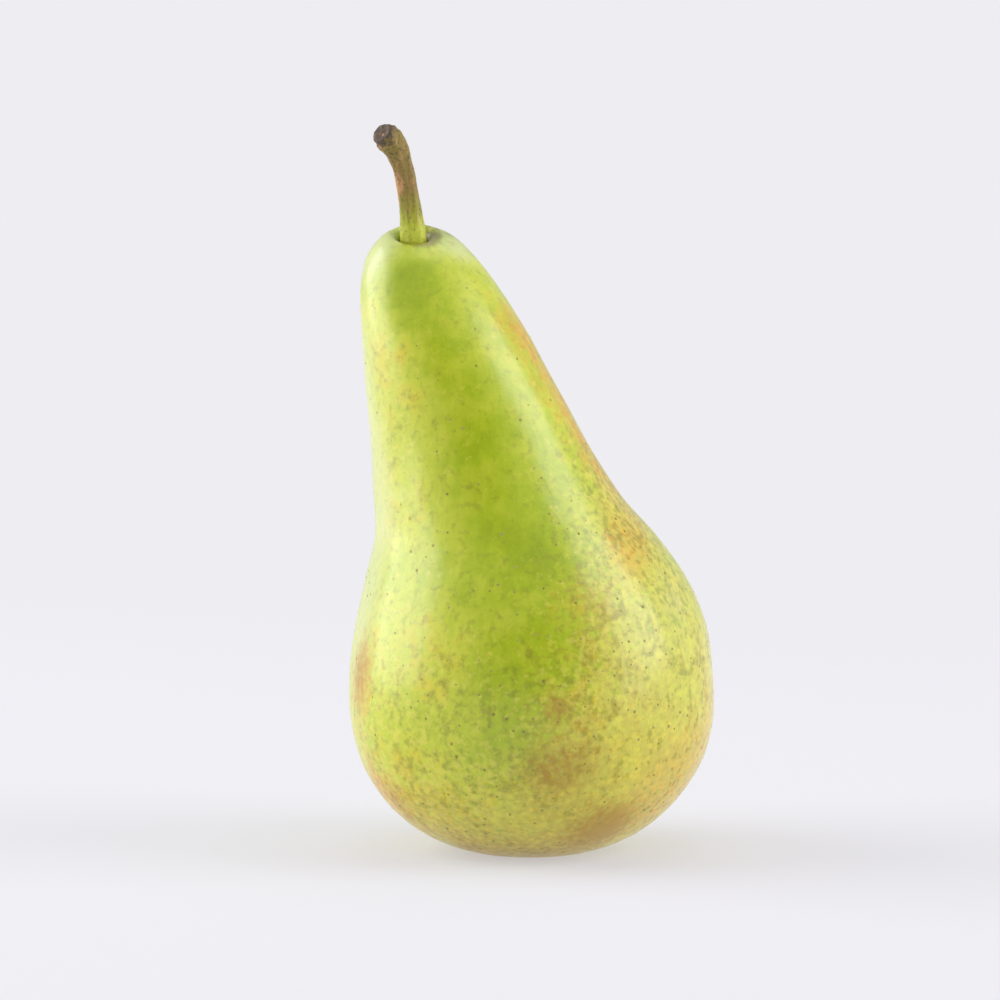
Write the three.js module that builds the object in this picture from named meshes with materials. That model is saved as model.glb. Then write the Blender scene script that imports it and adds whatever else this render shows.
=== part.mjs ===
// A standing dessert pear: the fleshy fruit, its woody stalk and, in the basin underneath,
// the dried calyx, with five sepals round a tuft of withered stamens.
// Millimetres, +Z up. The origin is on the table, under the middle of the part's box.
import * as THREE from "three";

// ---- driving dimensions ----
const FRUIT_HEIGHT = 108; // table to the rim of the stalk's hollow
const BELLY_RADIUS = 32; // at the widest part
const NECK_LEAN = 20; // how far the crown stands to the -X side of the belly
const CROWN_FORWARD = 2.4; // how far the crown stands to the -Y side of the belly
const CROWN_TIP = 0.4; // slope of the crown, down towards -Y
const DEPTH_SHARE = 0.97; // front-to-back width over side-to-side width
const STALK_RADIUS = 1.8; // at its slimmest
const FOOT_SWELL = 0.28; // how much wider the foot is than the shank, as a share
const CLEARANCE = 0.3; // round the stalk, the sepals and the tuft
const SEPAL_COUNT = 5;
const SEPAL_WIDTH = 3;
const SEPAL_THICKNESS = 0.5;
const TUFT_RADIUS = 2.1;

// ---- mesh fineness ----
const ROUND_STEPS = 56; // facets round the fruit
const BASIN_RINGS = 7;
const SKIN_RINGS = 34;
const HOLLOW_RINGS = 6;
const STALK_SIDES = 16;
const STALK_RINGS = 24;

const { smoothstep } = THREE.MathUtils;

// ---- the fruit's outline ----
// A level ring of the fruit as a point on an outline: x is the ring's radius, y its lean and
// z its height. They are given as shares of BELLY_RADIUS, NECK_LEAN and FRUIT_HEIGHT.
const ring = (radius, lean, height) =>
  new THREE.Vector3(radius * BELLY_RADIUS, -lean * NECK_LEAN, height * FRUIT_HEIGHT);

// From the top of the calyx tube, out over the floor of the basin, down to the foot.
const basinOutline = new THREE.CatmullRomCurve3([
  ring(0.082, 0, 0.067),
  ring(0.086, 0, 0.046),
  ring(0.15, 0, 0.04),
  ring(0.215, 0, 0.021),
  ring(0.28, 0, 0),
]);

// The foot is a flat ring, which is all that touches the table. From its outer edge, over the
// belly and up the leaning neck, to the rim of the hollow that the stalk grows from.
const skinOutline = new THREE.CatmullRomCurve3([
  ring(0.355, 0, 0),
  ring(0.48, 0, 0.012),
  ring(0.635, 0, 0.037),
  ring(0.79, 0, 0.078),
  ring(0.925, 0, 0.14),
  ring(0.99, 0, 0.205),
  ring(1, 0, 0.28),
  ring(0.967, 0, 0.362),
  ring(0.885, 0.04, 0.438),
  ring(0.77, 0.13, 0.51),
  ring(0.672, 0.295, 0.581),
  ring(0.592, 0.447, 0.663),
  ring(0.524, 0.603, 0.754),
  ring(0.454, 0.75, 0.841),
  ring(0.375, 0.88, 0.912),
  ring(0.29, 0.955, 0.96),
  ring(0.21, 0.985, 0.986),
  ring(0.14, 1, 0.998),
]);

// From the rim, down into the hollow.
const socketRadius = ((1 + FOOT_SWELL) * STALK_RADIUS + CLEARANCE) / BELLY_RADIUS;
const hollowOutline = new THREE.CatmullRomCurve3([
  ring(0.14, 1, 0.998),
  ring(0.11, 1.01, 0.9965),
  ring(socketRadius, 1.02, 0.985),
  ring(socketRadius, 1.02, 0.94),
]);

// ---- how the fruit departs from a turned shape ----
// The core line comes forward with height.
const forward = (height) => CROWN_FORWARD * smoothstep(height, 0.3 * FRUIT_HEIGHT, FRUIT_HEIGHT);

// The rings of the crown tip forward, so the hollow's front lip is lower than its back.
const tip = (height) => CROWN_TIP * smoothstep(height, 0.72 * FRUIT_HEIGHT, 0.99 * FRUIT_HEIGHT);

// Slow swells, as a share of the radius: ribs that run out from the calyx, a belly that is
// a little three-sided and a neck that is a little flattened. Foot and hollow stay round.
function swell(angle, height) {
  const h = height / FRUIT_HEIGHT;
  const ribs = 0.012 * Math.cos(5 * angle + 0.7);
  const belly = 0.012 * Math.cos(3 * angle - 1.1);
  const neck = 0.015 * Math.cos(2 * angle + 1.9);
  return (
    1 +
    ribs * smoothstep(h, 0, 0.04) * (1 - smoothstep(h, 0.1, 0.4)) +
    belly * smoothstep(h, 0.05, 0.3) * (1 - smoothstep(h, 0.4, 0.7)) +
    neck * smoothstep(h, 0.45, 0.65) * (1 - smoothstep(h, 0.88, 0.97))
  );
}

// ---- fruit ----
// The point of a ring at an angle round it, in the part's frame.
function fruitPoint({ x: radius, y: lean, z: height }, angle) {
  const reach = radius * swell(angle, height);
  const x = reach * Math.cos(angle);
  const y = DEPTH_SHARE * reach * Math.sin(angle);
  return new THREE.Vector3(lean + x, y - forward(height), height + tip(height) * y);
}

// A turned body whose rings are then moved to where the fruit has them.
function makeFruit() {
  const outline = [
    ...basinOutline.getSpacedPoints(BASIN_RINGS),
    ...skinOutline.getSpacedPoints(SKIN_RINGS),
    ...hollowOutline.getSpacedPoints(HOLLOW_RINGS).slice(1),
  ];
  const start = outline[0].clone().setX(0);
  const end = outline.at(-1).clone().setX(0);
  const rings = [start, ...outline, end];
  const profile = rings.map(({ x: radius, z: height }) => new THREE.Vector2(radius, height));
  const body = new THREE.LatheGeometry(profile, ROUND_STEPS);
  const position = body.getAttribute("position");
  const uv = body.getAttribute("uv");
  for (let i = 0; i < position.count; i += 1) {
    const place = rings[Math.round(uv.getY(i) * (rings.length - 1))];
    const { x, y, z } = fruitPoint(place, 2 * Math.PI * uv.getX(i));
    position.setXYZ(i, x, y, z);
  }
  return body;
}

// ---- stalk ----
// The stalk's line, up from the bottom of the hollow to the knob that parted from the twig.
const socket = fruitPoint(hollowOutline.getPoint(1).setX(0), 0);
const stalkLine = new THREE.CatmullRomCurve3(
  [
    [0.1, 0, 0.6 + CLEARANCE],
    [0, 0, 6],
    [-0.5, 0, 11],
    [-1.1, 0, 15],
    [-1.9, -0.3, 18.6],
    [-3.2, -1.3, 21.9],
    [-5.1, -3.1, 23.8],
  ].map(([x, y, z]) => new THREE.Vector3(x, y, z).add(socket)),
);

// Its radius at a share of its length: a fleshy foot, a slim shank and a woody knob.
function stalkRadius(share) {
  const foot = FOOT_SWELL * (1 - smoothstep(share, 0.14, 0.5));
  const knob = 0.3 * smoothstep(share, 0.68, 0.93);
  const roundedEnd = 0.22 * smoothstep(share, 0.95, 1);
  return STALK_RADIUS * (1 + foot + knob - roundedEnd);
}

// A rod of unit size, bent along the line.
function makeStalk() {
  const rod = new THREE.CylinderGeometry(1, 1, 1, STALK_SIDES, STALK_RINGS);
  const { normals, binormals } = stalkLine.computeFrenetFrames(STALK_RINGS);
  const position = rod.getAttribute("position");
  for (let i = 0; i < position.count; i += 1) {
    const share = position.getY(i) + 0.5;
    const station = Math.round(share * STALK_RINGS);
    const radius = stalkRadius(share);
    const { x, y, z } = stalkLine
      .getPointAt(share)
      .addScaledVector(binormals[station], radius * position.getX(i))
      .addScaledVector(normals[station], radius * position.getZ(i));
    position.setXYZ(i, x, y, z);
  }
  return rod;
}

// ---- calyx ----
// A sepal's middle line, from the calyx tube outwards and down.
const sepalLine = new THREE.CatmullRomCurve3([
  new THREE.Vector3(3.3, 0, 3.9),
  new THREE.Vector3(4.8, 0, 3),
  new THREE.Vector3(6, 0, 1.9),
  new THREE.Vector3(6.6, 0, 0.8),
]);

// A blade that tapers to a narrow tip, bent along sepalLine.
function makeSepal() {
  const blade = new THREE.BoxGeometry(1, SEPAL_WIDTH, SEPAL_THICKNESS, 8, 4, 1);
  const position = blade.getAttribute("position");
  for (let i = 0; i < position.count; i += 1) {
    const share = position.getX(i) + 0.5;
    const taper = 1 - 0.8 * share ** 1.5;
    const along = sepalLine.getTangentAt(share);
    const outwards = new THREE.Vector3(-along.z, 0, along.x); // square to the blade, upwards
    const bent = sepalLine.getPointAt(share).addScaledVector(outwards, position.getZ(i));
    position.setXYZ(i, bent.x, taper * position.getY(i), bent.z);
  }
  return blade;
}

// The withered stamens, as one closed plug in the calyx tube.
function makeTuft() {
  const profile = [
    new THREE.Vector2(0, 3),
    new THREE.Vector2(0.7 * TUFT_RADIUS, 3),
    new THREE.Vector2(TUFT_RADIUS, 4),
    new THREE.Vector2(TUFT_RADIUS, 6),
    new THREE.Vector2(0.8 * TUFT_RADIUS, 6.6),
    new THREE.Vector2(0, 6.6),
  ];
  return new THREE.LatheGeometry(profile, 16).rotateX(Math.PI / 2);
}

// ---- materials ----
const finish = (color, roughness) =>
  new THREE.MeshStandardMaterial({ color, roughness, metalness: 0 });
const skin = finish("#b4c43c", 0.45);
const stalkBark = finish("#86803a", 0.7);
const driedCalyx = finish("#4a3826", 0.9);

// ---- the pear ----
const pear = new THREE.Group();

function add(name, geometry, material) {
  const mesh = new THREE.Mesh(geometry, material);
  mesh.name = name;
  pear.add(mesh);
  return mesh;
}

add("fruit", makeFruit(), skin);
add("stalk", makeStalk(), stalkBark);
add("stamen_tuft", makeTuft(), driedCalyx.clone());
for (let i = 0; i < SEPAL_COUNT; i += 1) {
  const sepal = add(`sepal_${i + 1}`, makeSepal(), driedCalyx.clone());
  sepal.rotation.z = (2 * Math.PI * i) / SEPAL_COUNT + 0.3;
}

// Stands the part on its origin.
const box = new THREE.Box3().setFromObject(pear);
const foot = box.getCenter(new THREE.Vector3()).setZ(box.min.z);
for (const mesh of pear.children) mesh.position.sub(foot);

export default pear;
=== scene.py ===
"""The looks of a standing dessert pear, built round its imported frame.

The fruit's skin, its woody stalk and the dried calyx underneath are made here at full detail,
in metres, in the frame's own axes: +Z up, the neck leaning to -X, the crown's low lip to -Y.
"""

import logging
import math
from collections.abc import Sequence
from dataclasses import dataclass, field
from enum import Enum
from typing import Any

import bpy
import numpy as np
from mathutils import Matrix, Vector, noise


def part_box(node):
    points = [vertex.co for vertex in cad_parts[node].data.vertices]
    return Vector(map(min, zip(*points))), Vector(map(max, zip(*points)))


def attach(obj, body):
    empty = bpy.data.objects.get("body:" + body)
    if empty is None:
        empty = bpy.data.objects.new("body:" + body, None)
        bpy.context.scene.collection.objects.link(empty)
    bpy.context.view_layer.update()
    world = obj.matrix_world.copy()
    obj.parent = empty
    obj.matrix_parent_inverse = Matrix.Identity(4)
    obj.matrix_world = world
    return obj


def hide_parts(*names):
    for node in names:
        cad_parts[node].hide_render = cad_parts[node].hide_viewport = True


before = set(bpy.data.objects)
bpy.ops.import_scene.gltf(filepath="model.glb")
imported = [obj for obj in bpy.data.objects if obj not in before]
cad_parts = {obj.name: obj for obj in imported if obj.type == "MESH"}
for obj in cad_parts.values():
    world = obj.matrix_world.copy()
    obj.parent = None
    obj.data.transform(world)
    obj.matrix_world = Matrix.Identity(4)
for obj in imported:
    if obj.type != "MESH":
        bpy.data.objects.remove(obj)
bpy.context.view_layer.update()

log = logging.getLogger("pear")

MM = 0.001
BODY = "root"
BAKE_MAP = "OFBake"
GOLDEN_ANGLE = math.pi * (3 - math.sqrt(5))

# Socket numbers of the Mix node when it mixes colours, and of Random Value when it gives a number.
MIX_FACTOR, MIX_A, MIX_B, MIX_RESULT = 0, 6, 7, 2
RANDOM_LOW, RANDOM_HIGH, RANDOM_RESULT = 2, 3, 1

# Points listed, one row of coordinates for each.
Rows = tuple[tuple[float, ...], ...]


class Mask(Enum):
    """The vertex attributes that tell a finish where each cast of colour lies."""

    GREEN = "green_cast"
    GOLD = "gold_cast"
    RUSSET = "russet_cover"
    DOTS = "dot_cover"
    PAINTED_HIGHLIGHT = "painted_highlight_cover"
    HOLLOW_SHADE = "painted_hollow_shade"
    ALONG = "along"
    TINT = "tint"


# ---- helpers ----


def linear(hex_code: str) -> tuple[float, float, float, float]:
    """Turns an sRGB colour into linear light.

    Args:
        hex_code: the colour as "#rrggbb".

    Returns:
        Linear red, green and blue, and an alpha of 1.
    """
    shares = [int(hex_code[i : i + 2], 16) / 255 for i in (1, 3, 5)]
    red, green, blue = [c / 12.92 if c <= 0.04045 else ((c + 0.055) / 1.055) ** 2.4 for c in shares]
    return red, green, blue, 1.0


def smoothstep(value: np.ndarray | float, low: float, high: float) -> np.ndarray:
    """Rises smoothly from 0 at low to 1 at high.

    Args:
        value: where to read the step.
        low: the value at which it starts to rise.
        high: the value at which it has risen.

    Returns:
        The step's height, from 0 to 1, in the shape of value.
    """
    t = np.clip((np.asarray(value, float) - low) / (high - low), 0, 1)
    return t * t * (3 - 2 * t)


def add_node(
    tree: bpy.types.NodeTree,
    kind: str,
    settings: dict[str, Any] | None = None,
    links: dict[str | int, Any] | None = None,
) -> bpy.types.Node:
    """Adds a node, sets it up and joins its inputs.

    Args:
        tree: the node tree it goes in.
        kind: the node's type, such as "ShaderNodeTexNoise".
        settings: the node's own properties and their values.
        links: for each input, the output that feeds it or the value that it holds.

    Returns:
        The new node.
    """
    node = tree.nodes.new(kind)
    for name, value in (settings or {}).items():
        setattr(node, name, value)
    for name, value in (links or {}).items():
        if isinstance(value, bpy.types.NodeSocket):
            tree.links.new(value, node.inputs[name])
        else:
            node.inputs[name].default_value = value
    return node


def bumps(points: np.ndarray, size: float, octaves: int = 2) -> np.ndarray:
    """Reads smooth noise at points.

    Args:
        points: rows of x, y and z, in metres.
        size: the width of the noise's largest bumps, in metres.
        octaves: how many layers it has, each half as wide as the one before.

    Returns:
        The noise at each point, about -1 to 1.
    """
    return np.array([noise.fractal(Vector(p), 1.0, 2.0, octaves) for p in (points / size).tolist()])


def tube(rings: int, sides: int, lengths: np.ndarray) -> tuple[list[list[int]], np.ndarray]:
    """Joins stacked rings of vertices into a closed skin, with a flat map slit up one side.

    The vertices are the rings in order, counter-clockwise seen from the last, then the middle
    of the first ring and the middle of the last. The map keeps a margin, and gives each end a
    narrow cap.

    Args:
        rings: how many rings there are.
        sides: how many vertices each ring has.
        lengths: how far along the skin each ring lies, from 0 to 1.

    Returns:
        The vertex numbers round each face, and the map's u and v at each of their corners.
    """
    margin, cap = 0.005, 0.02
    low, i = (grid.ravel() for grid in np.meshgrid(np.arange(rings - 1), np.arange(sides), indexing="ij"))
    j = (i + 1) % sides
    up = low + 1
    quads = np.stack([low * sides + i, low * sides + j, up * sides + j, up * sides + i], axis=1)
    u, u_next = i / sides, (i + 1) / sides
    v, v_next = (cap + (1 - 2 * cap) * lengths[ring] for ring in (low, up))
    quad_map = np.stack([u, v, u_next, v, u_next, v_next, u, v_next], axis=1).reshape(-1, 2)

    i = np.arange(sides)
    j = (i + 1) % sides
    first, last, top = rings * sides, rings * sides + 1, (rings - 1) * sides
    fans = np.vstack(
        [
            np.stack([np.full(sides, first), j, i], axis=1),
            np.stack([np.full(sides, last), top + i, top + j], axis=1),
        ]
    )
    u, u_next, u_mid = i / sides, (i + 1) / sides, (i + 0.5) / sides
    foot, head = np.zeros(sides), np.ones(sides)
    fan_map = np.vstack(
        [
            np.stack([u_mid, foot, u_next, foot + cap, u, foot + cap], axis=1).reshape(-1, 2),
            np.stack([u_mid, head, u, head - cap, u_next, head - cap], axis=1).reshape(-1, 2),
        ]
    )
    return quads.tolist() + fans.tolist(), margin + (1 - 2 * margin) * np.vstack([quad_map, fan_map])


def new_tube(name: str, rows: np.ndarray) -> bpy.types.Object:
    """Makes a closed piece from stacked rings.

    Args:
        name: the piece's name.
        rows: vertices by ring, by place round the ring, by x, y and z, in metres.

    Returns:
        The new object, at the origin and linked to the scene.
    """
    rings, sides, _ = rows.shape
    centres = rows.mean(axis=1)
    steps = np.linalg.norm(np.diff(rows[:, 0], axis=0), axis=1)
    lengths = np.concatenate([[0], np.cumsum(steps)]) / steps.sum()
    faces, corners = tube(rings, sides, lengths)
    mesh = bpy.data.meshes.new(name)
    mesh.from_pydata(np.vstack([rows.reshape(-1, 3), centres[:1], centres[-1:]]).tolist(), [], faces)
    mesh.uv_layers.new(name=BAKE_MAP).data.foreach_set("uv", corners.ravel().astype(np.float32))
    mesh.shade_smooth()
    piece = bpy.data.objects.new(name, mesh)
    bpy.context.scene.collection.objects.link(piece)
    return piece


def vertices_of(piece: bpy.types.Object) -> np.ndarray:
    """Reads a piece's vertices, one row of x, y and z for each."""
    flat = np.empty(len(piece.data.vertices) * 3, np.float32)
    piece.data.vertices.foreach_get("co", flat)
    return flat.reshape(-1, 3).astype(float)


def push_out(piece: bpy.types.Object, heights: np.ndarray) -> None:
    """Moves each vertex of a piece along its normal, but never below the table.

    Args:
        piece: a mesh object.
        heights: how far each vertex moves outwards, in metres.
    """
    flat = np.empty(len(piece.data.vertices) * 3, np.float32)
    piece.data.vertex_normals.foreach_get("vector", flat)
    moved = vertices_of(piece) + flat.reshape(-1, 3) * heights[:, None]
    moved[:, 2] = np.maximum(moved[:, 2], 0)
    piece.data.vertices.foreach_set("co", moved.ravel().astype(np.float32))
    piece.data.update()


def store(piece: bpy.types.Object, mask: Mask, values: np.ndarray) -> None:
    """Keeps one number for each vertex of a piece, for its finish to read.

    Args:
        piece: a mesh object.
        mask: what the number says.
        values: one number for each vertex.
    """
    attribute = piece.data.attributes.new(mask.value, "FLOAT", "POINT")
    attribute.data.foreach_set("value", np.ascontiguousarray(values, np.float32))


@dataclass(frozen=True)
class Spline:
    """A centripetal Catmull-Rom curve through given points.

    Attributes:
        points: one row of coordinates for each.
        fineness: how many places along it its length is measured at.
    """

    points: np.ndarray
    fineness: int = 2000

    def at(self, share: np.ndarray) -> np.ndarray:
        """Reads the curve.

        Args:
            share: where to read it, from 0 at the first point to 1 at the last.

        Returns:
            One row of coordinates for each share.
        """
        p = self.points
        ends = np.vstack([2 * p[0] - p[1], p, 2 * p[-1] - p[-2]])
        place = np.asarray(share, float) * (len(p) - 1)
        span = np.minimum(place.astype(int), len(p) - 2)
        w = (place - span)[:, None]
        p0, p1, p2, p3 = (ends[span + k] for k in range(4))
        d0, d1, d2 = (
            np.sqrt(np.linalg.norm(b - a, axis=1))[:, None] for a, b in ((p0, p1), (p1, p2), (p2, p3))
        )
        out = d1 * ((p1 - p0) / d0 - (p2 - p0) / (d0 + d1) + (p2 - p1) / d1)
        into = d1 * ((p2 - p1) / d1 - (p3 - p1) / (d1 + d2) + (p3 - p2) / d2)
        second = -3 * p1 + 3 * p2 - 2 * out - into
        third = 2 * p1 - 2 * p2 + out + into
        return p1 + w * (out + w * (second + w * third))

    def spaced(self, count: int) -> np.ndarray:
        """Reads the curve at equal distances along it.

        Args:
            count: how many equal lengths it is cut into.

        Returns:
            One row of coordinates for each cut, with both ends.
        """
        fine = np.linspace(0, 1, self.fineness)
        track = self.at(fine)
        length = np.concatenate([[0], np.cumsum(np.linalg.norm(np.diff(track, axis=0), axis=1))])
        return self.at(np.interp(np.linspace(0, length[-1], count + 1), length, fine))


class Scatter:
    """A Geometry Nodes tree with named inputs, and the piece that it makes."""

    def __init__(self, name: str) -> None:
        """Starts an empty tree.

        Args:
            name: the name of the tree and of the piece.
        """
        self.name = name
        self.values: dict[str, Any] = {}
        self.tree = bpy.data.node_groups.new(name, "GeometryNodeTree")
        self.tree.interface.new_socket("Geometry", in_out="INPUT", socket_type="NodeSocketGeometry")
        self.tree.interface.new_socket("Geometry", in_out="OUTPUT", socket_type="NodeSocketGeometry")
        self.inputs = self.tree.nodes.new("NodeGroupInput")

    def ask(self, label: str, kind: str, value: Any) -> bpy.types.NodeSocket:
        """Adds a named input.

        Args:
            label: the input's name.
            kind: its type, such as "NodeSocketFloat".
            value: what the modifier sets it to.

        Returns:
            The socket that carries it inside the tree.
        """
        socket = self.tree.interface.new_socket(label, in_out="INPUT", socket_type=kind)
        self.values[socket.identifier] = value
        return self.inputs.outputs[label]

    def close(self, geometry: bpy.types.NodeSocket, finish: bpy.types.NodeSocket) -> None:
        """Ends the tree with real geometry in its finish.

        Args:
            geometry: what the tree has made.
            finish: the input that holds its material.
        """
        real = add_node(self.tree, "GeometryNodeRealizeInstances", links={"Geometry": geometry})
        dressed = add_node(
            self.tree,
            "GeometryNodeSetMaterial",
            links={"Geometry": real.outputs["Geometry"], "Material": finish},
        )
        add_node(self.tree, "NodeGroupOutput", links={"Geometry": dressed.outputs["Geometry"]})

    def grow(self, base: bpy.types.Mesh) -> bpy.types.Object:
        """Runs the tree and keeps its result as a plain mesh.

        Args:
            base: the mesh that the tree works on.

        Returns:
            The piece, at the origin, with no modifier left on it.
        """
        carrier = bpy.data.objects.new(self.name, base)
        bpy.context.scene.collection.objects.link(carrier)
        modifier = carrier.modifiers.new(self.name, "NODES")
        modifier.node_group = self.tree
        for identifier, value in self.values.items():
            modifier[identifier] = value
        depsgraph = bpy.context.evaluated_depsgraph_get()
        mesh = bpy.data.meshes.new_from_object(
            carrier.evaluated_get(depsgraph), preserve_all_data_layers=True, depsgraph=depsgraph
        )
        carrier.modifiers.clear()
        carrier.data = mesh
        mesh.name = self.name
        return carrier


# ---- finishes ----


@dataclass(frozen=True)
class Grain:
    """A natural pattern, drawn with noise.

    Attributes:
        width: the size of its largest marks, in metres.
        detail: how many finer layers it has.
        roughness: how strong each finer layer is beside the one before.
        drawn_out: how many times longer its marks are up the piece than across.
    """

    width: float
    detail: float = 3.0
    roughness: float = 0.55
    drawn_out: float = 1.0


class Finish:
    """What the finishes share: a node material that reads where each point lies on its piece."""

    def start(self, name: str, grains: dict[str, Grain], masks: Sequence[Mask] = ()) -> None:
        """Opens the material, draws its patterns and reads the piece's masks.

        Args:
            name: the material's name.
            grains: the patterns by name.
            masks: the masks that it follows.
        """
        self.material = bpy.data.materials.new(name)
        self.material.use_nodes = True
        self.tree = self.material.node_tree
        self.tree.nodes.clear()
        self.place = add_node(self.tree, "ShaderNodeTexCoord").outputs["Object"]
        self.marks: dict[str, bpy.types.NodeSocket] = {}
        for label, grain in grains.items():
            squeezed = add_node(
                self.tree,
                "ShaderNodeMapping",
                links={"Vector": self.place, "Scale": (1.0, 1.0, 1.0 / grain.drawn_out)},
            )
            drawn = add_node(
                self.tree,
                "ShaderNodeTexNoise",
                links={
                    "Vector": squeezed.outputs["Vector"],
                    "Scale": 1.0 / grain.width,
                    "Detail": grain.detail,
                    "Roughness": grain.roughness,
                },
            )
            self.marks[label] = drawn.outputs["Fac"]
        self.casts: dict[Mask, bpy.types.NodeSocket] = {}
        for mask in masks:
            cast = add_node(self.tree, "ShaderNodeAttribute", {"attribute_name": mask.value})
            self.casts[mask] = cast.outputs["Fac"]

    def blend(self, start: Any, parts: Sequence[tuple[Any, float]]) -> Any:
        """Adds weighed patterns to a value.

        Args:
            start: the value that they are added to.
            parts: each pattern and its weight.

        Returns:
            The socket with the sum.
        """
        for pattern, weight in parts:
            start = add_node(
                self.tree,
                "ShaderNodeMath",
                {"operation": "MULTIPLY_ADD"},
                {0: pattern, 1: weight, 2: start},
            ).outputs[0]
        return start

    def lay_ground(
        self, start: float, parts: Sequence[tuple[Any, float]], stops: Sequence[tuple[float, str]]
    ) -> Any:
        """Lays the ground: a run of colours that follows weighed patterns.

        Args:
            start: the value that the patterns are added to.
            parts: each pattern and its weight.
            stops: each colour and the sum at which it is pure, lowest first, from 0 to 1.

        Returns:
            The socket with the colour.
        """
        shades = add_node(self.tree, "ShaderNodeValToRGB", links={"Fac": self.blend(start, parts)})
        elements = shades.color_ramp.elements
        while len(elements) < len(stops):
            elements.new(1.0)
        for element, (place, colour) in zip(elements, stops):
            element.position = place
            element.color = linear(colour)
        return shades.outputs["Color"]

    def lay_over(self, ground: Any, colour: str, cover: Any, edge: tuple[float, float], most: float) -> Any:
        """Lays one colour over another where a pattern is strong.

        Args:
            ground: the colour underneath.
            colour: the colour on top.
            cover: the pattern.
            edge: the pattern's value where the colour starts, and where it is full.
            most: how much of the ground the full colour hides.

        Returns:
            The sockets with the mixed colour and with how much is covered.
        """
        part = add_node(
            self.tree,
            "ShaderNodeMapRange",
            {"interpolation_type": "SMOOTHSTEP"},
            {"Value": cover, "From Min": edge[0], "From Max": edge[1], "To Max": most},
        ).outputs["Result"]
        mixed = add_node(
            self.tree,
            "ShaderNodeMix",
            {"data_type": "RGBA"},
            {MIX_FACTOR: part, MIX_A: ground, MIX_B: linear(colour)},
        )
        return mixed.outputs[MIX_RESULT], part

    def close(self, reliefs: Sequence[tuple[Any, float]], links: dict[str, Any]) -> bpy.types.Material:
        """Ends the material with its surface.

        Args:
            reliefs: each fine relief's pattern and its depth in metres.
            links: the inputs of the surface shader.

        Returns:
            The finished material.
        """
        normal = None
        for pattern, depth in reliefs:
            inputs = {"Height": pattern, "Strength": 1.0, "Distance": depth}
            if normal is not None:
                inputs["Normal"] = normal
            normal = add_node(self.tree, "ShaderNodeBump", links=inputs).outputs["Normal"]
        surface = add_node(self.tree, "ShaderNodeBsdfPrincipled", links={**links, "Normal": normal})
        add_node(self.tree, "ShaderNodeOutputMaterial", links={"Surface": surface.outputs["BSDF"]})
        return self.material


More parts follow.
